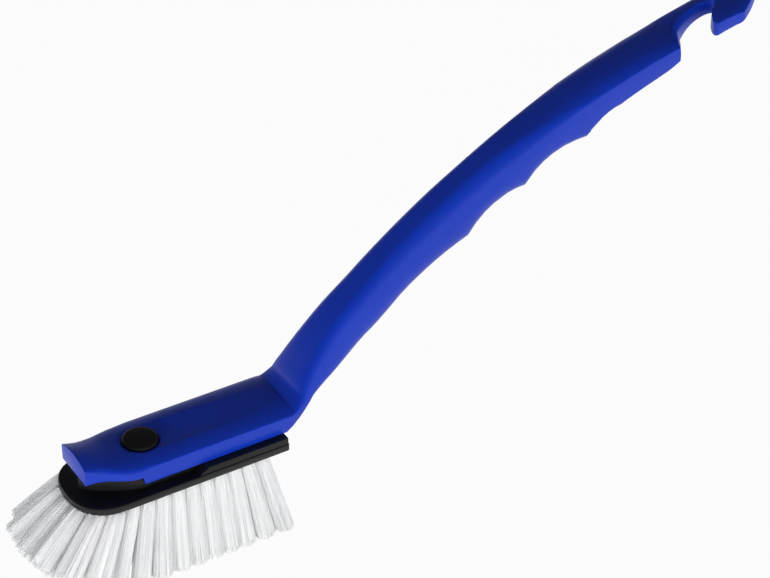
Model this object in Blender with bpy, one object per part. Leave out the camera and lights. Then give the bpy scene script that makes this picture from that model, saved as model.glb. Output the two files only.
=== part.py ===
# Dish brush: a moulded handle with a scraper nose, a push-off head of tufted bristles, and a release button.
# Lengths are in metres. The handle runs towards +X. The bristles point down, and their tips stand at z = 0.
import math

import bmesh
import bpy
import numpy as np
from mathutils import Vector

# Head: the flange that carries the bristles, its shoulder and its platform
head_width = 0.0288
head_front_reach = 0.0255      # from the button's axis to the front of the flange
head_front_depth = 0.0143      # length of the rounded front
head_rear_reach = 0.0433       # from the button's axis to the rear end
flange_height = 0.0027
flange_edge_radius = 0.0004
shoulder_height = 0.0048       # top of the shoulder above the flange's lower face
shoulder_inset = 0.0002        # step between the flange's side and the shoulder's
shoulder_reach = 0.0124        # from the button's axis to the foot of the shoulder
shoulder_slope_run = 0.0032
platform_front_reach = 0.0210
running_gap = 0.0003           # clearance between pieces that fit together

# Handle: the plate that covers the head
plate_width = 0.0239
plate_side_height = 0.00565
plate_crown = 0.0018
plate_wall = 0.00145
plate_roof = 0.0033            # thickness of the roof at its edge
plate_crease_radius = 0.00035
plate_rear_reach = 0.0440      # from the button's axis to the foot of the neck
plate_rear_wall = 0.0025
skirt_reach = 0.0045           # the plate's side walls stop this far in front of the button's axis

# Handle: the scraper nose in front of the side walls
nose_reach = 0.02206
nose_width = 0.0160
nose_lift = 0.0037
nose_side_radius = 0.0026
nose_roof = 0.0031
scraper_height = 0.00556

# Handle: the stem, from the neck to the shoulder of the hook
stem_run = 0.1450
stem_rise = 0.08475
stem_width = 0.0149
stem_depth = 0.0114
stem_edge_radius = 0.0030
stem_crown = 0.0020            # rise of the stem's top over its creases, at the upper end of the grip
finger_scallop_depth = 0.0029

# Handle: the hanging hook
hook_length = 0.0358
hook_rise = 0.0094
hook_width = 0.0186
hook_depth = 0.0044
hook_crown = 0.0012

# Release button and the tongue that springs it
button_radius = 0.0056
button_edge_radius = 0.0009
button_dome = 0.0004
dome_shoulder_share = 0.75     # height of the dome half-way out
button_stand = 0.0008          # how far the button's rim stands over the plate's crown
button_travel = 0.0020
button_sink_width = 0.0009     # countersink round the button's hole
button_sink_depth = 0.0005
tongue_thickness = 0.0008
tongue_width = 0.0050
well_floor = 0.0030            # from the flange's lower face up to the floor of the button's well

# Bristles
bristle_length = 0.0272
front_bristle_length = 0.0230
bristle_trim = 0.0256          # from the flange's lower face to the trimmed tips
tuft_hole_radius = 0.0017
tuft_hole_depth = 0.0019
tuft_pitch = 0.0049
tuft_edge_inset = 0.0025       # from the flange's edge to the outer ring of holes
tuft_rear_inset = 0.0091       # from the rear end to the last row of holes
tuft_inner_row = 0.0041        # from the middle plane to an inner row
tuft_side_start = 0.0022       # from the start of the rounded front back to a side's first tuft
front_lean = 0.0190            # how far a tuft at the front leans forward by its tip, at the most
side_lean = 0.0060             # how far a tuft at the sides leans out by its tip
tip_spread = 0.0020            # from a tuft's axis to its strands, at the tip
front_tip_spread = 0.0028
strand_root_share = 0.78       # size of a strand's root over that of its sector of the plug
strand_taper = 0.70            # thickness of a strand's tip over that of its root

# Counts
front_tufts = 7
rear_tufts = 3
strands_per_tuft = 8
outline_steps = 20
corner_steps = 5
crown_steps = 10
line_steps = 3
round_steps = 32
cut_overrun = 0.002

# Heights above the flange's lower face, which is the datum of the head and of the handle
plate_lower_edge = shoulder_height + running_gap
plate_crease = plate_lower_edge + plate_side_height
pocket_ceiling = plate_crease - plate_roof
platform_height = pocket_ceiling - running_gap
plate_top = plate_crease + plate_crown
button_top = plate_top + button_stand

# Widths and ends that follow from the fit of the head in the plate
pocket_half_width = plate_width / 2 - plate_wall
platform_half_width = pocket_half_width - running_gap
pocket_rear = plate_rear_reach - plate_rear_wall
platform_rear = pocket_rear - running_gap
head_half_width = head_width / 2
front_arc_start = head_front_depth - head_front_reach
button_hole_radius = button_radius + running_gap
tongue_foot = well_floor + running_gap
button_foot = tongue_foot + button_travel + 2 * tongue_thickness

# Rounded front of the flange and of the platform: exponent of the curve, 2 being an ellipse
flange_front_power = 2.48
platform_front_power = 1.3

# A corner's radius stays under this share of its section's depth, and an oval corner's height under these
corner_share = 0.45
upper_height_share = 0.56
lower_height_share = 0.42

# Lean of the front tufts, from the middle one outwards: shares of the front lean, forward and to the side
front_lean_shares = [(0.86, 0.00), (0.87, 0.16), (0.78, 0.30), (0.62, 0.36)]

# Lean of the other tufts: share of the way from the foot of the rounded front to the last row of holes, and
# share of the front lean, forward
side_lean_shares = [
    (-0.14, 0.80),
    (0.00, 0.63),
    (0.11, 0.42),
    (0.22, 0.27),
    (0.42, 0.125),
    (0.60, 0.05),
    (0.75, 0.02),
    (0.84, -0.08),
    (0.93, -0.18),
    (1.00, -0.24),
]

# Curve of a crown across its section: 2 is a parabola, and more is flatter in the middle
nose_crown_power = 2.0
crown_power = 3.0

# Nose stations from the scraper's edge back to the side walls:
# share of the nose's reach, of the way from the nose's width to the plate's, of the lift,
# of the way from the roof's thickness to the scraper's height, and of the side radius
nose_station_shares = [
    (1.00, 0.00, 1.00, 1.00, 0.20),
    (0.96, 0.01, 0.93, 0.86, 0.30),
    (0.88, 0.06, 0.78, 0.60, 0.45),
    (0.80, 0.15, 0.63, 0.38, 0.60),
    (0.72, 0.28, 0.48, 0.20, 0.75),
    (0.64, 0.43, 0.33, 0.09, 0.85),
    (0.56, 0.58, 0.20, 0.03, 0.90),
    (0.48, 0.73, 0.10, 0.00, 0.90),
    (0.40, 0.87, 0.04, 0.00, 0.80),
    (0.32, 0.96, 0.01, 0.00, 0.62),
    (0.23, 1.00, 0.00, 0.00, 0.42),
]

# Plate stations from the step to the foot of the neck: share of the way, and of the nose's side radius
plate_station_shares = [(0.00, 0.40), (0.05, 0.20), (0.10, 0.00), (0.40, 0.00), (0.70, 0.00), (1.00, 0.00)]

# Top line of the stem: shares of its run and of its rise, then of its depth, its width, its edge radii and
# its crown, and how much taller than wide its corners are
stem_station_shares = [
    (0.0138, 0.0000, 0.357, 1.597, 0.12, 0.12, 0.90, 1.00),
    (0.0242, 0.0038, 0.308, 1.535, 0.20, 0.45, 0.77, 1.00),
    (0.0380, 0.0218, 0.289, 1.470, 0.33, 0.60, 0.62, 1.00),
    (0.0552, 0.0655, 0.405, 1.350, 0.60, 0.80, 0.50, 1.05),
    (0.0823, 0.1370, 0.750, 1.220, 0.90, 1.05, 0.42, 1.10),
    (0.1111, 0.2009, 0.930, 1.140, 1.10, 1.15, 0.38, 1.20),
    (0.1627, 0.2928, 1.075, 1.070, 1.25, 1.20, 0.35, 1.35),
    (0.2209, 0.3748, 1.183, 1.045, 1.40, 1.20, 0.35, 1.45),
    (0.2818, 0.4601, 1.257, 1.030, 1.50, 1.20, 0.36, 1.50),
    (0.3436, 0.5367, 1.322, 1.040, 1.60, 1.20, 0.38, 1.50),
    (0.4234, 0.6242, 1.378, 1.055, 1.65, 1.20, 0.42, 1.50),
    (0.5010, 0.6960, 1.356, 1.065, 1.60, 1.20, 0.53, 1.50),
    (0.5804, 0.7604, 1.272, 1.080, 1.40, 1.15, 0.70, 1.45),
    (0.6630, 0.8161, 1.157, 1.095, 0.95, 1.05, 0.90, 1.30),
    (0.7440, 0.8696, 1.068, 1.105, 0.45, 0.85, 1.05, 1.15),
    (0.7919, 0.8993, 0.907, 1.120, 0.25, 0.70, 1.10, 1.00),
    (0.8408, 0.9276, 0.737, 1.135, 0.16, 0.55, 1.10, 1.00),
    (0.8816, 0.9492, 0.671, 1.142, 0.14, 0.45, 1.05, 1.00),
    (0.9367, 0.9776, 0.627, 1.148, 0.13, 0.40, 0.90, 1.00),
    (0.9709, 0.9925, 0.576, 1.160, 0.13, 0.38, 0.80, 1.00),
    (1.0000, 1.0050, 0.475, 1.180, 0.13, 0.34, 0.70, 1.00),
]

# Finger scallops under the grip: start and end as shares of the stem's run, and share of the full depth
scallop_shares = [
    (0.1880, 0.4234, 0.45),
    (0.4234, 0.5804, 1.00),
    (0.5804, 0.7440, 1.00),
    (0.7440, 0.8408, 0.45),
]

# The hook: shares of its length, of its rise, of the way from its depth to its tip's, and of its width
hook_station_shares = [
    (0.112, 0.127, 0.10, 1.00),
    (0.236, 0.253, 0.25, 1.00),
    (0.367, 0.372, 0.45, 1.00),
    (0.496, 0.490, 0.65, 1.00),
    (0.611, 0.575, 0.80, 0.99),
    (0.700, 0.650, 0.90, 0.93),
    (0.780, 0.745, 1.00, 0.77),
    (0.855, 0.845, 1.00, 0.59),
    (0.920, 0.920, 1.00, 0.41),
    (0.960, 0.960, 1.00, 0.27),
    (0.985, 0.985, 1.00, 0.14),
]
hook_tip_depth_share = 0.80

# Notch of the hook, seen from above: shares of the hook's length from the shoulder and of its width from
# the edge, first on its upper face and then on its lower face, because the throat's wall slopes
notch_throat_shares = [
    (0.000, 0.000, 0.020, 0.000),
    (0.017, 0.130, 0.075, 0.140),
    (0.039, 0.290, 0.135, 0.300),
    (0.083, 0.420, 0.180, 0.440),
    (0.131, 0.540, 0.253, 0.540),
    (0.196, 0.645, 0.340, 0.630),
    (0.305, 0.730, 0.436, 0.690),
    (0.418, 0.765, 0.518, 0.706),
    (0.523, 0.760, 0.584, 0.693),
    (0.592, 0.715, 0.623, 0.655),
    (0.623, 0.640, 0.634, 0.607),
    (0.598, 0.555, 0.600, 0.552),
    (0.552, 0.480, 0.555, 0.490),
    (0.502, 0.400, 0.504, 0.405),
    (0.466, 0.310, 0.467, 0.310),
    (0.436, 0.190, 0.437, 0.190),
    (0.432, 0.105, 0.433, 0.110),
]
notch_rim_shares = [(0.452, 0.070), (0.655, 0.070), (0.740, 0.040), (0.800, 0.000)]

# Rounding of the throat's wall: shares of the height from the hook's lower face to its crown, and of the way
# from the notch's lower outline to its upper one
notch_wall_shares = [(0.00, 0.00), (0.35, 0.06), (0.62, 0.21), (0.82, 0.43), (0.94, 0.68), (1.00, 1.00)]


def clear_scene():
    for old in list(bpy.data.objects):
        bpy.data.objects.remove(old, do_unlink=True)


def plastic(name, colour, roughness):
    material = bpy.data.materials.new(name)
    material.use_nodes = True
    shader = material.node_tree.nodes["Principled BSDF"]
    shader.inputs["Base Color"].default_value = (*colour, 1)
    shader.inputs["Roughness"].default_value = roughness
    shader.inputs["Metallic"].default_value = 0
    return material


def make_object(name, bm, material=None, smooth=True, parent=None):
    bmesh.ops.recalc_face_normals(bm, faces=bm.faces)
    mesh = bpy.data.meshes.new(name)
    bm.to_mesh(mesh)
    bm.free()
    made = bpy.data.objects.new(name, mesh)
    bpy.context.scene.collection.objects.link(made)
    if material:
        mesh.materials.append(material)
    if smooth:
        mesh.shade_smooth()
        mesh.set_sharp_from_angle(angle=math.radians(32))
    made.parent = parent
    return made


def as_cutter(made):
    made.hide_render = True
    made.display_type = "WIRE"
    return made


def boolean(target, other, operation):
    modifier = target.modifiers.new(other.name, "BOOLEAN")
    modifier.operation = operation
    modifier.solver = "EXACT"
    modifier.object = other


def smooth_line(points, steps):
    # A curve through the points, parametrised by the root of their spacing so that it doesn't overshoot.
    line = np.array(points, float)
    reach = np.sqrt(np.linalg.norm(np.diff(line, axis=0), axis=1))
    knots = np.concatenate([[0], np.cumsum(reach)])
    before = 2 * line[0] - line[1]
    after = 2 * line[-1] - line[-2]
    line = np.vstack([before, line, after])
    knots = np.concatenate([[knots[0] - reach[0]], knots, [knots[-1] + reach[-1]]])
    found = []
    for index in range(1, len(line) - 2):
        k0, k1, k2, k3 = knots[index - 1 : index + 3]
        p0, p1, p2, p3 = line[index - 1 : index + 3]
        for step in range(steps):
            k = k1 + (k2 - k1) * step / steps
            a1 = (p0 * (k1 - k) + p1 * (k - k0)) / (k1 - k0)
            a2 = (p1 * (k2 - k) + p2 * (k - k1)) / (k2 - k1)
            a3 = (p2 * (k3 - k) + p3 * (k - k2)) / (k3 - k2)
            b1 = (a1 * (k2 - k) + a2 * (k - k0)) / (k2 - k0)
            b2 = (a2 * (k3 - k) + a3 * (k - k1)) / (k3 - k1)
            found.append((b1 * (k2 - k) + b2 * (k - k1)) / (k2 - k1))
    found.append(line[-2])
    return np.array(found)


def section(width, depth, top_radius, lower_radius, crown, tall=1, power=crown_power):
    # One closed cross-section as (y, depth below the crease), from the far crease over the top and round.
    half = width / 2
    top_radius = min(top_radius, depth * corner_share)
    lower_radius = min(lower_radius, depth * corner_share)
    top_height = min(top_radius * tall, depth * upper_height_share)
    lower_height = min(lower_radius * tall, depth * lower_height_share)
    quarter = math.pi / 2

    def corner(side, radius, height, centre_depth, first):
        found = []
        for step in range(corner_steps + 1):
            angle = (first + step / corner_steps) * quarter
            across = side * (half - radius) + radius * math.cos(angle)
            down = centre_depth - height * math.sin(angle)
            found.append((across, down))
        return found

    points = corner(1, top_radius, top_height, top_height, 0)
    inner = half - top_radius
    for step in range(1, crown_steps):
        points.append((inner * (1 - 2 * step / crown_steps), 0))
    points += corner(-1, top_radius, top_height, top_height, 1)
    points += corner(-1, lower_radius, lower_height, depth - lower_height, 2)
    points.append((0, depth))
    points += corner(1, lower_radius, lower_height, depth - lower_height, 3)
    return [
        (across, down - crown * (1 - abs(across / half) ** power) * (1 - down / depth))
        for across, down in points
    ]


def nose_rings():
    # Sections across the nose, from the scraper's edge to the step where the side walls begin.
    rings = []
    for reach, widen, lift, thicken, side in nose_station_shares:
        width = nose_width + (plate_width - nose_width) * widen
        depth = nose_roof + (scraper_height - nose_roof) * thicken
        radius = nose_side_radius * side
        power = nose_crown_power + (crown_power - nose_crown_power) * widen
        outline = section(width, depth, radius, plate_crease_radius, plate_crown, 1, power)
        crease = plate_crease + nose_lift * lift
        rings.append([(-nose_reach * reach, across, crease - down) for across, down in outline])
    return rings


def plate_rings():
    # Sections of the plate with its full side walls, from the step to the foot of the neck.
    rings = []
    span = skirt_reach + plate_rear_reach
    for share, side in plate_station_shares:
        radius = plate_crease_radius + (nose_side_radius - plate_crease_radius) * side
        outline = section(plate_width, plate_side_height, radius, plate_crease_radius, plate_crown)
        reach = -skirt_reach + span * share
        rings.append([(reach, across, plate_crease - down) for across, down in outline])
    return rings


def stem_stations():
    # Smooth rows along the top line, hook included: x, z, depth, width, the two radii, crown and tallness.
    side = plate_crease_radius
    rows = [(0, 0, plate_side_height, plate_width, side, side, plate_crown, 1)]
    for run, rise, depth, width, top, lower, crown, tall in stem_station_shares:
        rows.append(
            (
                stem_run * run,
                stem_rise * rise,
                stem_depth * depth,
                stem_width * width,
                stem_edge_radius * top,
                stem_edge_radius * lower,
                stem_crown * crown,
                tall,
            )
        )
    end_top = rows[-1][4]
    end_lower = rows[-1][5]
    for run, rise, thin, width in hook_station_shares:
        depth = hook_depth * (1 - (1 - hook_tip_depth_share) * thin)
        rows.append(
            (
                stem_run + hook_length * run,
                stem_rise + hook_rise * rise,
                depth,
                hook_width * width,
                end_top,
                end_lower,
                hook_crown * width**2,
                1,
            )
        )
    return smooth_line(rows, line_steps)


def scallop_at(run_share):
    for start, end, depth in scallop_shares:
        if start < run_share < end:
            along = (run_share - start) / (end - start)
            return finger_scallop_depth * depth * 4 * along * (1 - along)
    return 0


def stem_rings():
    # Sections square to the top line. The first station is the plate's last ring, so it is left out.
    rows = stem_stations()
    slopes = np.gradient(rows[:, :2], axis=0)
    rings = []
    for row, slope in zip(rows[1:], slopes[1:]):
        along, height, depth, width, top, lower, crown, tall = row
        depth = depth - scallop_at(along / stem_run)
        slope = slope / np.linalg.norm(slope)
        down_x = slope[1]
        down_z = -slope[0]
        outline = section(width, depth, top, lower, crown, tall)
        rings.append(
            [
                (
                    plate_rear_reach + along + down_x * down,
                    across,
                    plate_crease + height + down_z * down,
                )
                for across, down in outline
            ]
        )
    return rings


def loft(rings):
    bm = bmesh.new()
    rows = [[bm.verts.new(point) for point in ring] for ring in rings]
    for first, second in zip(rows, rows[1:]):
        for index in range(len(first)):
            after = (index + 1) % len(first)
            bm.faces.new((first[index], first[after], second[after], second[index]))
    bm.faces.new(rows[0])
    bm.faces.new(rows[-1])
    return bm


def prism(outline, low, high):
    # A closed prism from an outline in the plan view.
    bm = bmesh.new()
    lower = [bm.verts.new((x, y, low)) for x, y in outline]
    upper = [bm.verts.new((x, y, high)) for x, y in outline]
    for index in range(len(outline)):
        after = (index + 1) % len(outline)
        bm.faces.new((lower[index], lower[after], upper[after], upper[index]))
    bm.faces.new(lower)
    bm.faces.new(upper)
    return bm


def turned(profile, steps):
    # A solid of revolution about Z from (radius, height) points that start and end on the axis.
    bm = bmesh.new()
    foot = bm.verts.new((0, 0, profile[0][1]))
    head = bm.verts.new((0, 0, profile[-1][1]))
    rows = []
    for radius, height in profile[1:-1]:
        row = []
        for step in range(steps):
            angle = 2 * math.pi * step / steps
            row.append(bm.verts.new((radius * math.cos(angle), radius * math.sin(angle), height)))
        rows.append(row)
    for index in range(steps):
        after = (index + 1) % steps
        bm.faces.new((foot, rows[0][index], rows[0][after]))
        bm.faces.new((head, rows[-1][index], rows[-1][after]))
        for first, second in zip(rows, rows[1:]):
            bm.faces.new((first[index], first[after], second[after], second[index]))
    return bm


def rounded_front(half_width, apex, arc_start, rear, power):
    # Plan outline with a rounded front towards -X and a square rear.
    outline = []
    depth = arc_start - apex
    for step in range(outline_steps + 1):
        angle = math.pi / 2 * (1 - 2 * step / outline_steps)
        across = math.sin(angle)
        ahead = abs(math.cos(angle)) ** (2 / power)
        side = math.copysign(abs(across) ** (2 / power), across)
        outline.append((arc_start - depth * ahead, half_width * side))
    outline.append((rear, -half_width))
    outline.append((rear, half_width))
    return outline


def make_handle(material, frame):
    handle = make_object("handle", loft(nose_rings() + plate_rings() + stem_rings()), material, True, frame)
    pocket_front = -nose_reach * nose_station_shares[-1][0] - cut_overrun
    pocket_outline = [
        (pocket_front, -pocket_half_width),
        (pocket_rear, -pocket_half_width),
        (pocket_rear, pocket_half_width),
        (pocket_front, pocket_half_width),
    ]
    pocket = prism(pocket_outline, plate_lower_edge - cut_overrun, pocket_ceiling)
    boolean(handle, as_cutter(make_object("pocket_cut", pocket, None, False, frame)), "DIFFERENCE")
    sink_rim = button_hole_radius + button_sink_width
    button_hole = turned(
        [
            (0, plate_lower_edge),
            (button_hole_radius, plate_lower_edge),
            (button_hole_radius, plate_top - button_sink_depth),
            (sink_rim, plate_top),
            (sink_rim, plate_top + cut_overrun),
            (0, plate_top + cut_overrun),
        ],
        round_steps,
    )
    boolean(handle, as_cutter(make_object("button_hole_cut", button_hole, None, False, frame)), "DIFFERENCE")
    boolean(handle, as_cutter(make_object("hook_notch_cut", hook_notch(), None, False, frame)), "DIFFERENCE")
    return handle


def hook_height(along):
    # Height of the hook's crease over the shoulder's, at a share of the hook's length.
    runs = [0] + [row[0] for row in hook_station_shares]
    rises = [0] + [row[1] for row in hook_station_shares]
    return hook_rise * float(np.interp(along, runs, rises))


def hook_notch():
    # A cutter in levels: straight below the hook's lower face, rounded up to its crown, and straight above.
    shoulder = plate_rear_reach + stem_run
    edge = -hook_width / 2
    crease = plate_crease + stem_rise
    rows = [(0, -cut_overrun / hook_width, notch_throat_shares[0][2], -cut_overrun / hook_width)]
    rows += [tuple(row) for row in smooth_line(notch_throat_shares, line_steps)]
    rows += [(along, inward, along, inward) for along, inward in notch_rim_shares]
    rows.append((rows[-1][0], rows[0][1], rows[-1][0], rows[0][1]))
    levels = []
    for height, way in [(None, 0)] + notch_wall_shares + [(None, 1)]:
        level = []
        for top_along, top_inward, low_along, low_inward in rows:
            along = low_along + (top_along - low_along) * way
            inward = low_inward + (top_inward - low_inward) * way
            if height is None:
                z = hook_rise + stem_depth if way else -stem_depth
            else:
                z = hook_height(along) - hook_depth + (hook_depth + hook_crown) * height
            level.append((shoulder + hook_length * along, edge + hook_width * inward, crease + z))
        levels.append(level)
    return loft(levels)


def shoulder_solid():
    # The raised rear of the head, with a sloped front, seen from the side and extruded across.
    half = head_half_width - shoulder_inset
    rear = head_rear_reach - shoulder_inset
    low = flange_height / 2
    side = [
        (shoulder_reach, low),
        (shoulder_reach, flange_height),
        (shoulder_reach + shoulder_slope_run, shoulder_height),
        (rear, shoulder_height),
        (rear, low),
    ]
    bm = bmesh.new()
    near = [bm.verts.new((x, -half, z)) for x, z in side]
    far = [bm.verts.new((x, half, z)) for x, z in side]
    for index in range(len(side)):
        after = (index + 1) % len(side)
        bm.faces.new((near[index], near[after], far[after], far[index]))
    bm.faces.new(near)
    bm.faces.new(far)
    return bm


def forward_lean(along):
    # How far a tuft behind the rounded front leans along the head, by the place of its root.
    last = head_rear_reach - tuft_rear_inset
    share = (along - front_arc_start) / (last - front_arc_start)
    ways, leans = zip(*side_lean_shares)
    return -front_lean * float(np.interp(share, ways, leans))


def outer_ring():
    # Roots, leans and lengths of the tufts along the flange's edge: both sides, the front and the rear row.
    half = head_half_width - tuft_edge_inset
    apex = tuft_edge_inset - head_front_reach
    rear = head_rear_reach - tuft_rear_inset
    side_reach = rear - front_arc_start - tuft_side_start
    side_count = round(side_reach / tuft_pitch)
    side_pitch = side_reach / side_count
    found = []
    for index in range(side_count + 1):
        along = rear - side_pitch * index
        for side in (1, -1):
            lean = Vector((forward_lean(along), side * side_lean))
            found.append(((along, side * half), lean, bristle_length))
    arc = rounded_front(half, apex, front_arc_start, rear, flange_front_power)[: outline_steps + 1]
    arc = np.array(arc)
    lengths = np.concatenate([[0], np.cumsum(np.linalg.norm(np.diff(arc, axis=0), axis=1))])
    for index in range(front_tufts):
        reach = lengths[-1] * (index + 0.5) / front_tufts
        root = (np.interp(reach, lengths, arc[:, 0]), np.interp(reach, lengths, arc[:, 1]))
        ahead, aside = front_lean_shares[abs(2 * index + 1 - front_tufts) // 2]
        lean = Vector((-front_lean * ahead, math.copysign(front_lean * aside, root[1])))
        found.append((root, lean, front_bristle_length))
    for index in range(rear_tufts):
        share = 2 * (index + 1) / (rear_tufts + 1) - 1
        lean = Vector((forward_lean(rear), side_lean * share))
        found.append(((rear, half * share), lean, bristle_length))
    return found


def inner_rows():
    # Roots, leans and lengths of the tufts of the two inner rows.
    half = head_half_width - tuft_edge_inset
    last = head_rear_reach - tuft_rear_inset - tuft_pitch
    first = front_arc_start - tuft_pitch * 5 / 4
    count = round((last - first) / tuft_pitch)
    pitch = (last - first) / count
    found = []
    for index in range(count + 1):
        along = first + pitch * index
        for side in (1, -1):
            lean = Vector((forward_lean(along), side * side_lean * tuft_inner_row / half))
            found.append(((along, side * tuft_inner_row), lean, bristle_length))
    return found


def tip_of(lean, offset, length):
    # A strand's tip from its tuft's root, with its drop cut off at the trimmed plane.
    reach = lean + offset
    drop = math.sqrt(length**2 - reach.length_squared)
    return Vector((reach.x, reach.y, -min(drop, bristle_trim)))


def tuft_mesh(lean, length):
    # An eight-sided plug in its hole. Each sector of its lower face carries one strand of three sides.
    bm = bmesh.new()
    radius = tuft_hole_radius - running_gap
    spread = front_tip_spread if length == front_bristle_length else tip_spread
    low = []
    high = []
    for step in range(strands_per_tuft):
        angle = 2 * math.pi * (step + 0.5) / strands_per_tuft
        spot = Vector((radius * math.cos(angle), radius * math.sin(angle), 0))
        low.append(bm.verts.new(spot))
        high.append(bm.verts.new(spot + Vector((0, 0, tuft_hole_depth - running_gap))))
    centre = bm.verts.new((0, 0, 0))
    bm.faces.new(high)
    for index in range(strands_per_tuft):
        after = (index + 1) % strands_per_tuft
        bm.faces.new((low[index], low[after], high[after], high[index]))
        sector = (centre, low[after], low[index])
        middle = (sector[0].co + sector[1].co + sector[2].co) / 3
        tip = tip_of(lean, middle.xy.normalized() * spread, length)
        inset = [(corner.co - middle) * strand_root_share for corner in sector]
        roots = [bm.verts.new(middle + offset) for offset in inset]
        tips = [bm.verts.new(tip + offset * strand_taper) for offset in inset]
        for first, second in ((0, 1), (1, 2), (2, 0)):
            bm.faces.new((sector[first], sector[second], roots[second], roots[first]))
            bm.faces.new((roots[first], roots[second], tips[second], tips[first]))
        bm.faces.new(tips)
    return bm


def make_tufts(material, frame):
    holes = bmesh.new()
    tufts = []
    for number, (spot, lean, length) in enumerate(outer_ring() + inner_rows(), 1):
        made = make_object(f"tuft_{number:02d}", tuft_mesh(lean, length), material, False, frame)
        made.location = (spot[0], spot[1], 0)
        tufts.append(made)
        add_hole(holes, spot)
    return tufts, make_object("tuft_holes_cut", holes, None, False, frame)


def add_hole(bm, spot):
    lower = []
    upper = []
    for step in range(strands_per_tuft):
        angle = 2 * math.pi * (step + 0.5) / strands_per_tuft
        x = spot[0] + tuft_hole_radius * math.cos(angle)
        y = spot[1] + tuft_hole_radius * math.sin(angle)
        lower.append(bm.verts.new((x, y, -cut_overrun)))
        upper.append(bm.verts.new((x, y, tuft_hole_depth)))
    for index in range(strands_per_tuft):
        after = (index + 1) % strands_per_tuft
        bm.faces.new((lower[index], lower[after], upper[after], upper[index]))
    bm.faces.new(lower)
    bm.faces.new(upper)


def make_brush_block(material, frame, tuft_holes):
    outline = rounded_front(
        head_half_width, -head_front_reach, front_arc_start, head_rear_reach, flange_front_power
    )
    block = make_object("brush_block", prism(outline, 0, flange_height), material, True, frame)
    edge = block.modifiers.new("edge", "BEVEL")
    edge.width = flange_edge_radius
    edge.segments = 2
    edge.limit_method = "ANGLE"
    edge.angle_limit = math.radians(50)
    shoulder = as_cutter(make_object("shoulder_solid", shoulder_solid(), None, False, frame))
    boolean(block, shoulder, "UNION")
    platform_outline = rounded_front(
        platform_half_width, -platform_front_reach, -skirt_reach, platform_rear, platform_front_power
    )
    platform = prism(platform_outline, flange_height / 2, platform_height)
    boolean(block, as_cutter(make_object("platform_solid", platform, None, False, frame)), "UNION")
    well = turned(
        [
            (0, well_floor),
            (button_hole_radius, well_floor),
            (button_hole_radius, platform_height + cut_overrun),
            (0, platform_height + cut_overrun),
        ],
        round_steps,
    )
    boolean(block, as_cutter(make_object("well_cut", well, None, False, frame)), "DIFFERENCE")
    boolean(block, as_cutter(tuft_holes), "DIFFERENCE")
    return block


def make_button(material, frame):
    rim = button_top - button_edge_radius
    profile = [(0, button_foot), (button_radius, button_foot)]
    for step in range(corner_steps + 2):
        angle = math.pi / 2 * step / (corner_steps + 1)
        profile.append(
            (
                button_radius - button_edge_radius * (1 - math.cos(angle)),
                rim + button_edge_radius * math.sin(angle),
            )
        )
    profile.append((button_radius / 2, button_top + button_dome * dome_shoulder_share))
    profile.append((0, button_top + button_dome))
    return make_object("release_button", turned(profile, round_steps), material, True, frame)


def make_tongue(material, frame):
    # A leaf that rises from the floor of the well to the underside of the button.
    reach = button_radius / math.sqrt(2)
    top = button_foot - running_gap
    low = tongue_foot
    side = [
        (-reach, low),
        (-reach / 2, low),
        (reach / 2, top - tongue_thickness),
        (reach, top - tongue_thickness),
        (reach, top),
        (reach / 2 - tongue_thickness / 2, top),
        (-reach / 2 - tongue_thickness / 2, low + tongue_thickness),
        (-reach, low + tongue_thickness),
    ]
    half = tongue_width / 2
    bm = bmesh.new()
    near = [bm.verts.new((x, -half, z)) for x, z in side]
    far = [bm.verts.new((x, half, z)) for x, z in side]
    for index in range(len(side)):
        after = (index + 1) % len(side)
        bm.faces.new((near[index], near[after], far[after], far[index]))
    bm.faces.new(near)
    bm.faces.new(far)
    return make_object("button_tongue", bm, material, False, frame)


def place_frame(frame, parts):
    # The origin is under the middle of the whole brush, on the plane of the trimmed tips.
    bpy.context.view_layer.update()
    reach = [vertex.co.x + part.location.x for part in parts for vertex in part.data.vertices]
    frame.location = (-(min(reach) + max(reach)) / 2, 0, bristle_trim)


def main():
    clear_scene()
    frame = bpy.data.objects.new("button_axis", None)
    bpy.context.scene.collection.objects.link(frame)
    blue = plastic("blue_polypropylene", (0.004, 0.006, 0.42), 0.22)
    black = plastic("black_polypropylene", (0.012, 0.012, 0.013), 0.42)
    white = plastic("white_nylon", (0.80, 0.82, 0.84), 0.38)
    handle = make_handle(blue, frame)
    tufts, tuft_holes = make_tufts(white, frame)
    make_brush_block(black, frame, tuft_holes)
    make_button(black, frame)
    make_tongue(black, frame)
    place_frame(frame, [handle] + tufts)


main()
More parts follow.
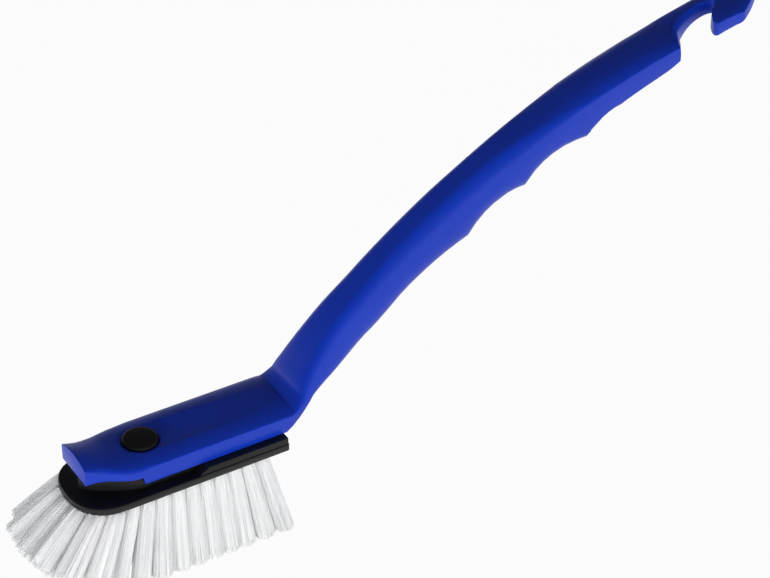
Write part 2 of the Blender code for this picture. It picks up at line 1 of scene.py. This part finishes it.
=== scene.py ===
# Dish brush with a push-off head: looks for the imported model, in metres and in the model's own frame.
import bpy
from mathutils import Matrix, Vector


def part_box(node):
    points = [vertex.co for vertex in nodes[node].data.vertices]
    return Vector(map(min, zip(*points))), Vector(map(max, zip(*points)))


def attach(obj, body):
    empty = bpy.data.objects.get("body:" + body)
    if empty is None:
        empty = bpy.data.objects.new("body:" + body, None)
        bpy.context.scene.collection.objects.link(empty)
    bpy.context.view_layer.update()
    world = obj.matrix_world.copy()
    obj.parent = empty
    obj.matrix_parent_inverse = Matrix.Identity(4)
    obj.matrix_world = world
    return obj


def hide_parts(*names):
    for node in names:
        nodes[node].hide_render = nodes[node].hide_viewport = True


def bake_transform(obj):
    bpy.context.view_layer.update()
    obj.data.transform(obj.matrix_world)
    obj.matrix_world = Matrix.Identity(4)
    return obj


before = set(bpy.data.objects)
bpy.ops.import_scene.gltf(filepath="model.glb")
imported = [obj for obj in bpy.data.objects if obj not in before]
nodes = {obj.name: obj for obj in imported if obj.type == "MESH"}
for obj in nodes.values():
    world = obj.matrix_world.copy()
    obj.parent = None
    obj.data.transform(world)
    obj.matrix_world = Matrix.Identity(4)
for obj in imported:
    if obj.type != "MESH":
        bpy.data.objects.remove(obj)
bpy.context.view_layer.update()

import math

import bpy
import numpy as np
from mathutils import Matrix, Vector

mm = 0.001


def hexColour(code):
    # an sRGB hex value as linear colour
    channels = [int(code[i:i + 2], 16) / 255 for i in (1, 3, 5)]
    linear = (c / 12.92 if c <= 0.04045 else ((c + 0.055) / 1.055) ** 2.4 for c in channels)
    return tuple(linear) + (1.0,)


def addNode(tree, kind, settings, links=None):
    # one node: settings are its properties and its sockets' values, links say what each socket is fed from,
    # and a socket goes by its name or its number
    node = tree.nodes.new(kind)
    for name, value in settings.items():
        if isinstance(name, str) and name not in node.inputs and hasattr(node, name):
            setattr(node, name, value)
        else:
            node.inputs[name].default_value = value
    for name, source in (links or {}).items():
        tree.links.new(source, node.inputs[name])
    return node


def newMaterial(name):
    material = bpy.data.materials.new(name)
    material.use_nodes = True
    material.node_tree.nodes.clear()
    return material


def deselectAll():
    bpy.context.view_layer.update()
    bpy.ops.object.select_all(action="DESELECT")


def workOn(piece):
    deselectAll()
    piece.select_set(True)
    bpy.context.view_layer.objects.active = piece


def smoothByAngle(piece, degrees):
    workOn(piece)
    bpy.ops.object.shade_smooth_by_angle(angle=math.radians(degrees))


def giveMaterial(piece, material):
    piece.data.materials.clear()
    piece.data.materials.append(material)


mergedMesh = {
    "joinPoints": 0.001 * mm,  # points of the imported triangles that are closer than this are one
    "joinFlat": 0.5,           # degrees; triangles that meet flatter than this become one face
    "roundSegments": 2,
}


def mergedCopy(nodeName, name):
    # a copy of a node with its loose triangles merged and the imported normals dropped
    piece = bpy.data.objects.new(name, nodes[nodeName].data.copy())
    piece.data.name = name
    bpy.context.scene.collection.objects.link(piece)
    workOn(piece)
    bpy.ops.mesh.customdata_custom_splitnormals_clear()
    bpy.ops.object.mode_set(mode="EDIT")
    bpy.ops.mesh.select_all(action="SELECT")
    bpy.ops.mesh.remove_doubles(threshold=mergedMesh["joinPoints"])
    bpy.ops.object.mode_set(mode="OBJECT")
    return piece


def roundEdges(piece, width, degrees, isChosen):
    # joins flat triangles, then rounds the edges sharper than degrees that isChosen accepts by their ends
    workOn(piece)
    bpy.ops.object.mode_set(mode="EDIT")
    bpy.ops.mesh.select_all(action="SELECT")
    bpy.ops.mesh.dissolve_limited(angle_limit=math.radians(mergedMesh["joinFlat"]))
    bpy.ops.mesh.select_mode(type="EDGE")
    bpy.ops.mesh.select_all(action="DESELECT")
    bpy.ops.mesh.edges_select_sharp(sharpness=math.radians(degrees))
    bpy.ops.object.mode_set(mode="OBJECT")
    spots = piece.data.vertices
    for edge in piece.data.edges:
        if edge.select and not isChosen(*(spots[v].co for v in edge.vertices)):
            edge.select = False
    bpy.ops.object.mode_set(mode="EDIT")
    bpy.ops.mesh.bevel(offset=width, segments=mergedMesh["roundSegments"], clamp_overlap=False)
    bpy.ops.object.mode_set(mode="OBJECT")


photoCamera = {
    "azimuth": -32.16,
    "elevation": 34.23,
    "roll": 0.42,
    "distance": 0.700,
    "across": -0.07358,  # where the button's axis stands in the view, at that distance
    "up": -0.05535,
    "lens": 108.0,
    "sensor": 36.0,
    "nearest": 0.01,     # nothing closer than this shows, and nothing beyond the furthest
    "furthest": 20.0,
}


def makeCamera(settings):
    azimuth = math.radians(settings["azimuth"])
    elevation = math.radians(settings["elevation"])
    roll = math.radians(settings["roll"])
    back = Vector((math.sin(azimuth) * math.cos(elevation), -math.cos(azimuth) * math.cos(elevation),
                   math.sin(elevation)))
    level = Vector((math.cos(azimuth), math.sin(azimuth), 0))
    upright = back.cross(level)
    right = level * math.cos(roll) + upright * math.sin(roll)
    up = upright * math.cos(roll) - level * math.sin(roll)
    turn = Matrix((right, up, back)).transposed()
    buttonLow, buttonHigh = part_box("release_button")
    datum = Vector(((buttonLow.x + buttonHigh.x) / 2, 0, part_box("brush_block")[0].z))
    place = datum + turn @ Vector((-settings["across"], -settings["up"], settings["distance"]))
    data = bpy.data.cameras.new("photoCamera")
    data.lens = settings["lens"]
    data.sensor_width = settings["sensor"]
    data.clip_start = settings["nearest"]
    data.clip_end = settings["furthest"]
    camera = bpy.data.objects.new("photoCamera", data)
    camera.matrix_world = Matrix.Translation(place) @ turn.to_4x4()
    bpy.context.scene.collection.objects.link(camera)
    bpy.context.scene.camera = camera


makeCamera(photoCamera)
print("camera in place")


studio = {
    "floorSize": 6.0,
    "floorDrop": 0.032,        # the brush is held over the paper, and its head has room to come off
    "floorColour": "#f4f4f4",
    "floorLift": 0.95,         # how much of the floor's white shows without any light on it
    "roomColour": "#e9edf5",
    "roomStrength": 0.20,      # the light of the dim room
    "roomMirrored": 0.08,      # the same room in reflections
    "sweepTop": (0.00, 0.05),  # in reflections the white sweep fades out between these heights of a ray
}

lampTable = [
    # name, place, aimed at, width, height, watts
    ("frontSoftbox", (0.35, -1.25, 0.21), (0.0, 0.0, 0.05), 2.20, 0.40, 14.5),
    ("leftPanel", (-0.85, -0.34, 0.09), (-0.12, 0.0, 0.01), 1.20, 0.17, 5.6),
    ("rearFill", (0.20, 1.40, 0.24), (0.0, 0.0, 0.05), 2.20, 0.44, 6.0),
]


def makeWorld():
    # white to the camera, a white sweep with a dim room over it to reflections, and the dim room as light
    world = bpy.data.worlds.new("studioWorld")
    bpy.context.scene.world = world
    world.use_nodes = True
    tree = world.node_tree
    tree.nodes.clear()
    path = addNode(tree, "ShaderNodeLightPath", {})
    spot = addNode(tree, "ShaderNodeTexCoord", {})
    parts = addNode(tree, "ShaderNodeSeparateXYZ", {}, {0: spot.outputs["Generated"]})
    low, high = studio["sweepTop"]
    sweep = addNode(tree, "ShaderNodeMapRange",
                    {"From Min": low, "From Max": high, "To Min": 1.0, "To Max": 0.0},
                    {"Value": parts.outputs["Z"]})
    shown = addNode(tree, "ShaderNodeMath", {"operation": "MAXIMUM"},
                    {0: path.outputs["Is Glossy Ray"], 1: path.outputs["Is Transmission Ray"]})
    mirrored = addNode(tree, "ShaderNodeMath", {"operation": "MULTIPLY"},
                       {0: shown.outputs[0], 1: sweep.outputs[0]})
    white = addNode(tree, "ShaderNodeMath", {"operation": "MAXIMUM"},
                    {0: path.outputs["Is Camera Ray"], 1: mirrored.outputs[0]})
    dimming = addNode(tree, "ShaderNodeMapRange",
                      {"To Min": studio["roomStrength"], "To Max": studio["roomMirrored"]},
                      {"Value": path.outputs["Is Glossy Ray"]})
    room = addNode(tree, "ShaderNodeBackground", {"Color": hexColour(studio["roomColour"])},
                   {"Strength": dimming.outputs[0]})
    paper = addNode(tree, "ShaderNodeBackground", {"Color": hexColour("#ffffff"), "Strength": 1.0})
    mix = addNode(tree, "ShaderNodeMixShader", {},
                  {0: white.outputs[0], 1: room.outputs[0], 2: paper.outputs[0]})
    addNode(tree, "ShaderNodeOutputWorld", {}, {"Surface": mix.outputs[0]})


def makeFloor():
    # matt paper that keeps the brush's shadow, lifted to white for the camera and for reflections
    deselectAll()
    bpy.ops.mesh.primitive_plane_add(size=studio["floorSize"], location=(0, 0, -studio["floorDrop"]))
    floor = bpy.context.object
    floor.name = "studioFloor"
    paper = newMaterial("paleStudioPaper")
    tree = paper.node_tree
    path = addNode(tree, "ShaderNodeLightPath", {})
    seen = addNode(tree, "ShaderNodeMath", {"operation": "MAXIMUM"},
                   {0: path.outputs["Is Camera Ray"], 1: path.outputs["Is Glossy Ray"]})
    shown = addNode(tree, "ShaderNodeMath", {"operation": "MAXIMUM"},
                    {0: seen.outputs[0], 1: path.outputs["Is Transmission Ray"]})
    matt = addNode(tree, "ShaderNodeBsdfDiffuse", {"Color": hexColour(studio["floorColour"])})
    glow = addNode(tree, "ShaderNodeEmission", {"Color": hexColour("#ffffff"), "Strength": 1.0})
    lift = addNode(tree, "ShaderNodeMixShader", {0: studio["floorLift"]},
                   {1: matt.outputs[0], 2: glow.outputs[0]})
    mix = addNode(tree, "ShaderNodeMixShader", {},
                  {0: shown.outputs[0], 1: matt.outputs[0], 2: lift.outputs[0]})
    addNode(tree, "ShaderNodeOutputMaterial", {}, {"Surface": mix.outputs[0]})
    giveMaterial(floor, paper)


def makeLamps():
    for name, place, target, width, height, watts in lampTable:
        data = bpy.data.lights.new(name, "AREA")
        data.shape = "RECTANGLE"
        data.size = width
        data.size_y = height
        data.energy = watts
        lamp = bpy.data.objects.new(name, data)
        lamp.location = place
        lamp.rotation_euler = (Vector(target) - Vector(place)).to_track_quat("-Z", "Y").to_euler()
        lamp.visible_camera = False
        lamp.visible_glossy = False  # the plastics mirror the white floor and sweep, and no lamp
        bpy.context.scene.collection.objects.link(lamp)


makeWorld()
makeFloor()
makeLamps()
bpy.context.scene.view_settings.view_transform = "Standard"
print("studio in place")


def polypropyleneBlue():
    # polypropylene, injection moulded in a polished tool: an even royal blue with a soft shine,
    # hardly varied by the flow of the melt, and the faintest orange peel
    material = newMaterial("mouldedBluePolypropylene")
    tree = material.node_tree
    spot = addNode(tree, "ShaderNodeTexCoord", {})
    flow = addNode(tree, "ShaderNodeTexNoise", {"Scale": 1 / (18 * mm), "Detail": 2.0, "Roughness": 0.5},
                   {"Vector": spot.outputs["Object"]})
    tint = addNode(tree, "ShaderNodeMix",
                   {"data_type": "RGBA", 6: hexColour("#072fa8"), 7: hexColour("#0a34b4")},
                   {0: flow.outputs["Fac"]})
    peel = addNode(tree, "ShaderNodeTexNoise", {"Scale": 1 / (3.5 * mm), "Detail": 1.0, "Roughness": 0.4},
                   {"Vector": spot.outputs["Object"]})
    shine = addNode(tree, "ShaderNodeMapRange",
                    {"From Min": 0.3, "From Max": 0.7, "To Min": 0.38, "To Max": 0.42},
                    {"Value": peel.outputs["Fac"]})
    bump = addNode(tree, "ShaderNodeBump", {"Strength": 0.10, "Distance": 0.02 * mm},
                   {"Height": peel.outputs["Fac"]})
    shader = addNode(tree, "ShaderNodeBsdfPrincipled", {"IOR": 1.49, "Specular IOR Level": 0.45},
                     {"Base Color": tint.outputs[2], "Roughness": shine.outputs[0],
                      "Normal": bump.outputs[0]})
    addNode(tree, "ShaderNodeOutputMaterial", {}, {"Surface": shader.outputs[0]})
    return material


def polypropyleneBlack():
    # polypropylene with carbon black, moulded in a lightly eroded tool: satin, a shade duller than the
    # handle; the real grain is finer, and this one is as coarse as it needs to show
    material = newMaterial("mouldedBlackPolypropylene")
    tree = material.node_tree
    spot = addNode(tree, "ShaderNodeTexCoord", {})
    grain = addNode(tree, "ShaderNodeTexNoise", {"Scale": 1 / (0.5 * mm), "Detail": 3.0, "Roughness": 0.55},
                    {"Vector": spot.outputs["Object"]})
    tint = addNode(tree, "ShaderNodeMix",
                   {"data_type": "RGBA", 6: hexColour("#0f0f11"), 7: hexColour("#151516")},
                   {0: grain.outputs["Fac"]})
    shine = addNode(tree, "ShaderNodeMapRange",
                    {"From Min": 0.3, "From Max": 0.7, "To Min": 0.36, "To Max": 0.44},
                    {"Value": grain.outputs["Fac"]})
    bump = addNode(tree, "ShaderNodeBump", {"Strength": 0.10, "Distance": 0.015 * mm},
                   {"Height": grain.outputs["Fac"]})
    shader = addNode(tree, "ShaderNodeBsdfPrincipled", {"IOR": 1.49, "Specular IOR Level": 0.38},
                     {"Base Color": tint.outputs[2], "Roughness": shine.outputs[0],
                      "Normal": bump.outputs[0]})
    addNode(tree, "ShaderNodeOutputMaterial", {}, {"Surface": shader.outputs[0]})
    return material


def nylonWhite():
    # nylon monofilament, drawn and cut: milky white with a satin skin, streaked faintly along its length;
    # the streaks are coarser than one filament, so that they show as bristles lighter and darker
    material = newMaterial("drawnWhiteNylon")
    tree = material.node_tree
    spot = addNode(tree, "ShaderNodeTexCoord", {})
    stretch = addNode(tree, "ShaderNodeMapping", {"Scale": (1.0, 1.0, 0.06)},
                      {"Vector": spot.outputs["Object"]})
    streaks = addNode(tree, "ShaderNodeTexNoise", {"Scale": 1 / (0.8 * mm), "Detail": 2.0, "Roughness": 0.5},
                      {"Vector": stretch.outputs[0]})
    tint = addNode(tree, "ShaderNodeMix",
                   {"data_type": "RGBA", 6: hexColour("#edeff1"), 7: hexColour("#faf9f7")},
                   {0: streaks.outputs["Fac"]})
    shader = addNode(tree, "ShaderNodeBsdfPrincipled", {"IOR": 1.53, "Roughness": 0.40},
                     {"Base Color": tint.outputs[2]})
    addNode(tree, "ShaderNodeOutputMaterial", {}, {"Surface": shader.outputs[0]})
    return material


blue = polypropyleneBlue()
black = polypropyleneBlack()
nylon = nylonWhite()
print("materials ready")


handleFinish = {
    "smoothAngle": 42,       # degrees; the crests of the plate and of the hook are sharper than this
    "roundEdge": 0.25 * mm,  # the mould's own small round on the sharp edges
    "buttonHole": 8.5 * mm,  # within this radius of the button's axis the edges stay as packed
}


def makeHandle():
    piece = mergedCopy("handle", "brushHandle")
    low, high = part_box("release_button")
    axis = (low + high).xy / 2
    reach = handleFinish["buttonHole"]
    roundEdges(piece, handleFinish["roundEdge"], handleFinish["smoothAngle"],
               lambda a, b: min((a.xy - axis).length, (b.xy - axis).length) > reach)
    smoothByAngle(piece, handleFinish["smoothAngle"])
    giveMaterial(piece, blue)
    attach(piece, "handle")
    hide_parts("handle")


makeHandle()
print("handle ready")


headFinish = {
    "smoothAngle": 30,        # degrees, for the block and the button
    "sharpAngle": 40,         # degrees; the block's edges sharper than this are rounded
    "roundEdge": 0.20 * mm,
    "holesTop": 2.5 * mm,     # above the flange's lower face; the rounds are over the holes
    "levelWithin": 1.0 * mm,  # an edge that rises more than this, such as a corner, isn't rounded
}


def makeBlock():
    piece = mergedCopy("brush_block", "bristleBlock")
    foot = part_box("brush_block")[0].z + headFinish["holesTop"]
    roundEdges(piece, headFinish["roundEdge"], headFinish["sharpAngle"],
               lambda a, b: min(a.z, b.z) > foot and abs(a.z - b.z) < headFinish["levelWithin"])
    smoothByAngle(piece, headFinish["smoothAngle"])
    giveMaterial(piece, black)
    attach(piece, "brush_head")
    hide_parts("brush_block")


def makeButton():
    piece = mergedCopy("release_button", "thumbButton")
    smoothByAngle(piece, headFinish["smoothAngle"])
    giveMaterial(piece, black)
    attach(piece, "release_button")
    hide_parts("release_button")


def makeTongue():
    # the springy tongue under the button, which bends on the real brush when the button goes down; here it
    # is a fixed copy in its place, on no body
    piece = mergedCopy("button_tongue", "springTongue")
    giveMaterial(piece, black)
    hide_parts("button_tongue")
    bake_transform(piece)


makeBlock()
makeButton()
makeTongue()
print("head block, button and tongue ready")


bristle = {
    "perTuft": 164,
    "innerEvery": 4,             # every fourth bristle stands inside the bunch, the rest round its outside
    "innerFill": 0.5,            # power of a chance distance from the middle: 0.5 fills the bunch evenly,
    "outerFill": 0.08,           # and less moves the bristles outwards
    "sides": 6,
    "cuts": 3,                   # rings of points between a bristle's root and its tip
    "smoothAngle": 65,
    "radius": 0.15 * mm,
    "radiusVaries": (0.9, 1.1),
    "tipShare": 0.85,            # thickness at the tip
    "plugAbove": 0.1 * mm,       # a packed tuft is in its hole from here up, over the flange's lower face
    "tipsUnder": 4.0 * mm,       # its points further than this under that face are its strands' tips
    "rootSpread": 1.42 * mm,     # radius of the bunch in its hole
    "rootDepth": 0.15 * mm,      # how far up its hole a bunch starts
    "rootFlare": 0.34,           # share of the widening that comes at once below the hole
    "rootFlareReach": 0.03,      # over this share of the length
    "fanShares": (1.38, 1.05),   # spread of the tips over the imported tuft's, across its lean and along it
    "trimmedFanShares": (1.60, 1.35),
    "trimmedUnder": 0.4 * mm,    # a tuft whose packed tips all end lower than this is trimmed level
    "trimmed": 0.12 * mm,        # how unevenly trimmed tips end
    "ragged": 0.35 * mm,         # and the others
    "clumps": 9,                 # bristles that cling together
    "cling": 0.10,               # how far they move to the middle of their clump
    "clingVaries": (0.3, 1.0),
    "wander": 0.08 * mm,         # how far a bristle strays from its line between root and tip
    "coreSides": 28,
    "coreRib": 0.05,
    "coreShare": 0.93,           # size of the inner bunch
    "coreReach": 0.94,           # share of the length where it starts to close
    "coreClosed": (0.97, 0.5),   # share of the length where it ends, and its size there
    "seed": 7,
}


def makeFilament():
    # one filament of unit length and radius: a thin prism, cut across
    deselectAll()
    bpy.ops.mesh.primitive_cylinder_add(vertices=bristle["sides"], radius=1, depth=1, location=(0, 0, 0.5))
    filament = bpy.context.object
    bpy.ops.object.transform_apply(location=True, rotation=True, scale=True)
    bpy.ops.object.mode_set(mode="EDIT")
    bpy.ops.mesh.select_mode(type="EDGE")
    bpy.ops.mesh.select_all(action="DESELECT")
    bpy.ops.object.mode_set(mode="OBJECT")
    mesh = filament.data
    for edge in mesh.edges:
        low, high = (mesh.vertices[v].co for v in edge.vertices)
        edge.select = abs(high.z - low.z) > 0.5  # the upright edges
    bpy.ops.object.mode_set(mode="EDIT")
    bpy.ops.mesh.subdivide(number_cuts=bristle["cuts"])
    bpy.ops.object.mode_set(mode="OBJECT")
    spots = np.array([list(v.co) for v in mesh.vertices])
    faces = [tuple(p.vertices) for p in mesh.polygons]
    bpy.data.objects.remove(filament)
    return spots, faces


def tuftEnds(nodeName):
    # the middle of a tuft's root, and its strands' tips in order round their middle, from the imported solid
    spots = np.array([list(v.co) for v in nodes[nodeName].data.vertices])
    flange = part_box("brush_block")[0].z
    plug = spots[spots[:, 2] > flange + bristle["plugAbove"]]
    root = (plug.min(axis=0) + plug.max(axis=0)) / 2
    tips = np.unique(np.round(spots[spots[:, 2] < flange - bristle["tipsUnder"]], 6), axis=0)
    middle = tips.mean(axis=0)
    order = np.argsort(np.arctan2(tips[:, 1] - middle[1], tips[:, 0] - middle[0]))
    return np.array([root[0], root[1], flange + bristle["rootDepth"]]), middle, tips[order]


def spreadTips(root, middle, tips, shares):
    # the tips' places from their middle, spread across the bunch's lean and along it
    sides = tips - middle
    lean = (middle - root) * (1, 1, 0)
    lean /= max(np.linalg.norm(lean), 1e-9)  # an upright bunch has none
    return sides * shares[0] + np.outer(sides @ lean, lean) * (shares[1] - shares[0])


def outlineSpots(sides, turns):
    # points on the outline through the tips' places: 0 is the first tip, 1 the second, and so on round
    first = np.floor(turns).astype(int) % len(sides)
    along = (turns % 1)[:, None]
    return sides[first] * (1 - along) + sides[(first + 1) % len(sides)] * along


def fanSpots(middle, sides, count, dice):
    # spots spaced evenly round the fan of tips, most of them near its edge, and how far out each is
    edge = outlineSpots(sides, (np.arange(count) + dice.uniform(0, 1, count)) / count * len(sides))
    isInner = np.arange(count)[:, None] % bristle["innerEvery"] == 0
    out = dice.uniform(0, 1, (count, 1)) ** np.where(isInner, bristle["innerFill"], bristle["outerFill"])
    return middle + edge * out, out


def widening(share):
    # how much of the fan's width a bunch has at a share of its length
    atOnce = bristle["rootFlare"]
    return atOnce * (1 - np.exp(-share / bristle["rootFlareReach"])) + (1 - atOnce) * share


def makeCore(root, middle, sides):
    # the inner bristles, which nobody can tell apart: one closed ribbed bunch that ends above the tips
    count = bristle["coreSides"]
    edge = outlineSpots(sides, np.arange(count) / count * len(sides))
    edge *= bristle["coreShare"] * (1 + bristle["coreRib"] * (-1.0) ** np.arange(count))[:, None]
    rootEdge = edge * (1, 1, 0)
    rootEdge *= bristle["rootSpread"] * bristle["coreShare"] / np.linalg.norm(rootEdge, axis=1)[:, None]
    steps = bristle["cuts"] + 1  # the rings stand where a bristle's own cuts do
    ringTable = [((number / steps) ** 2, 1) for number in range(steps)]
    ringTable += [(bristle["coreReach"], 1), bristle["coreClosed"]]
    rings = [root + (middle - root) * share + (rootEdge * (1 - share) + edge * widening(share)) * size
             for share, size in ringTable]
    faces = [tuple(range(count)), tuple(range((len(rings) - 1) * count, len(rings) * count))]
    for ring in range(len(rings) - 1):
        for number in range(count):
            after = (number + 1) % count
            faces.append((ring * count + number, ring * count + after,
                          (ring + 1) * count + after, (ring + 1) * count + number))
    return np.concatenate(rings), faces


def bristleTips(middle, sides, isTrimmed, dice):
    # where each bristle of a tuft ends, drawn a little to its clump, and how far out in the bunch it is
    count = bristle["perTuft"]
    high, out = fanSpots(middle, sides, count, dice)
    clumps = fanSpots(middle, sides, bristle["clumps"], dice)[0]
    nearest = np.argmin(((high[:, None, :] - clumps[None, :, :]) ** 2).sum(axis=2), axis=1)
    high += (clumps[nearest] - high) * bristle["cling"] * dice.uniform(*bristle["clingVaries"], (count, 1))
    if isTrimmed:
        high[:, 2] = np.abs(dice.normal(0, bristle["trimmed"], count))
    else:
        high[:, 2] = np.maximum(high[:, 2] + dice.normal(0, bristle["ragged"], count), 0)
    return high, out


def bristleRoots(root, middle, high, out):
    # a bristle keeps its place in the bunch from root to tip, as far as the clumps let it
    side = (high - middle)[:, :2]
    low = np.tile(root, (len(high), 1))
    low[:, :2] += side / np.linalg.norm(side, axis=1)[:, None] * out * bristle["rootSpread"]
    return low


def drawBristles(root, middle, low, high, shape, dice):
    # the points of all a tuft's bristles: the filament's shape along each line from low to high
    count = len(high)
    run = high - low
    run /= np.linalg.norm(run, axis=1)[:, None]
    first = np.cross(run, (0.0, 1.0, 0.0))
    first /= np.linalg.norm(first, axis=1)[:, None]
    second = np.cross(run, first)
    turn = dice.uniform(0, math.pi, (count, 1))
    across = first * np.cos(turn) + second * np.sin(turn)
    aside = second * np.cos(turn) - first * np.sin(turn)
    share = (shape[:, 2] ** 2)[None, :, None]  # the cuts stand closer near the hole
    axis = root + (middle - root) * share
    line = axis + (low - root)[:, None, :] * (1 - share) + (high - middle)[:, None, :] * widening(share)
    line += dice.normal(0, bristle["wander"], (count, 1, 3)) * (1, 1, 0) * np.sin(math.pi * share)
    thick = bristle["radius"] * dice.uniform(*bristle["radiusVaries"], (count, 1, 1))
    thick = thick * (1 - (1 - bristle["tipShare"]) * share)
    outward = across[:, None, :] * shape[None, :, 0:1] + aside[:, None, :] * shape[None, :, 1:2]
    spots = line + outward * thick
    spots[:, :, 2] = np.maximum(spots[:, :, 2], 0)
    return spots.reshape(-1, 3)


def makeTuft(nodeName, filament, dice):
    shape, shapeFaces = filament
    root, middle, tips = tuftEnds(nodeName)
    isTrimmed = tips[:, 2].max() < bristle["trimmedUnder"]
    sides = spreadTips(root, middle, tips, bristle["trimmedFanShares" if isTrimmed else "fanShares"])
    high, out = bristleTips(middle, sides, isTrimmed, dice)
    low = bristleRoots(root, middle, high, out)
    spots = drawBristles(root, middle, low, high, shape, dice)
    starts = range(0, len(spots), len(shape))
    faces = [tuple(v + start for v in face) for start in starts for face in shapeFaces]
    core, coreFaces = makeCore(root, middle, sides)
    faces += [tuple(v + len(spots) for v in face) for face in coreFaces]
    name = "bristles" + nodeName.removeprefix("tuft_")
    mesh = bpy.data.meshes.new(name)
    mesh.from_pydata(spots.tolist() + core.tolist(), [], faces)
    mesh.update()
    piece = bpy.data.objects.new(name, mesh)
    bpy.context.scene.collection.objects.link(piece)
    workOn(piece)
    bpy.ops.object.mode_set(mode="EDIT")
    bpy.ops.mesh.select_all(action="SELECT")
    bpy.ops.mesh.normals_make_consistent(inside=False)
    bpy.ops.object.mode_set(mode="OBJECT")
    smoothByAngle(piece, bristle["smoothAngle"])
    giveMaterial(piece, nylon)
    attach(piece, "brush_head")
    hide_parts(nodeName)


filamentShape = makeFilament()
dice = np.random.default_rng(bristle["seed"])
for nodeName in sorted(n for n in nodes if n.startswith("tuft_")):
    makeTuft(nodeName, filamentShape, dice)
print("bristles ready")
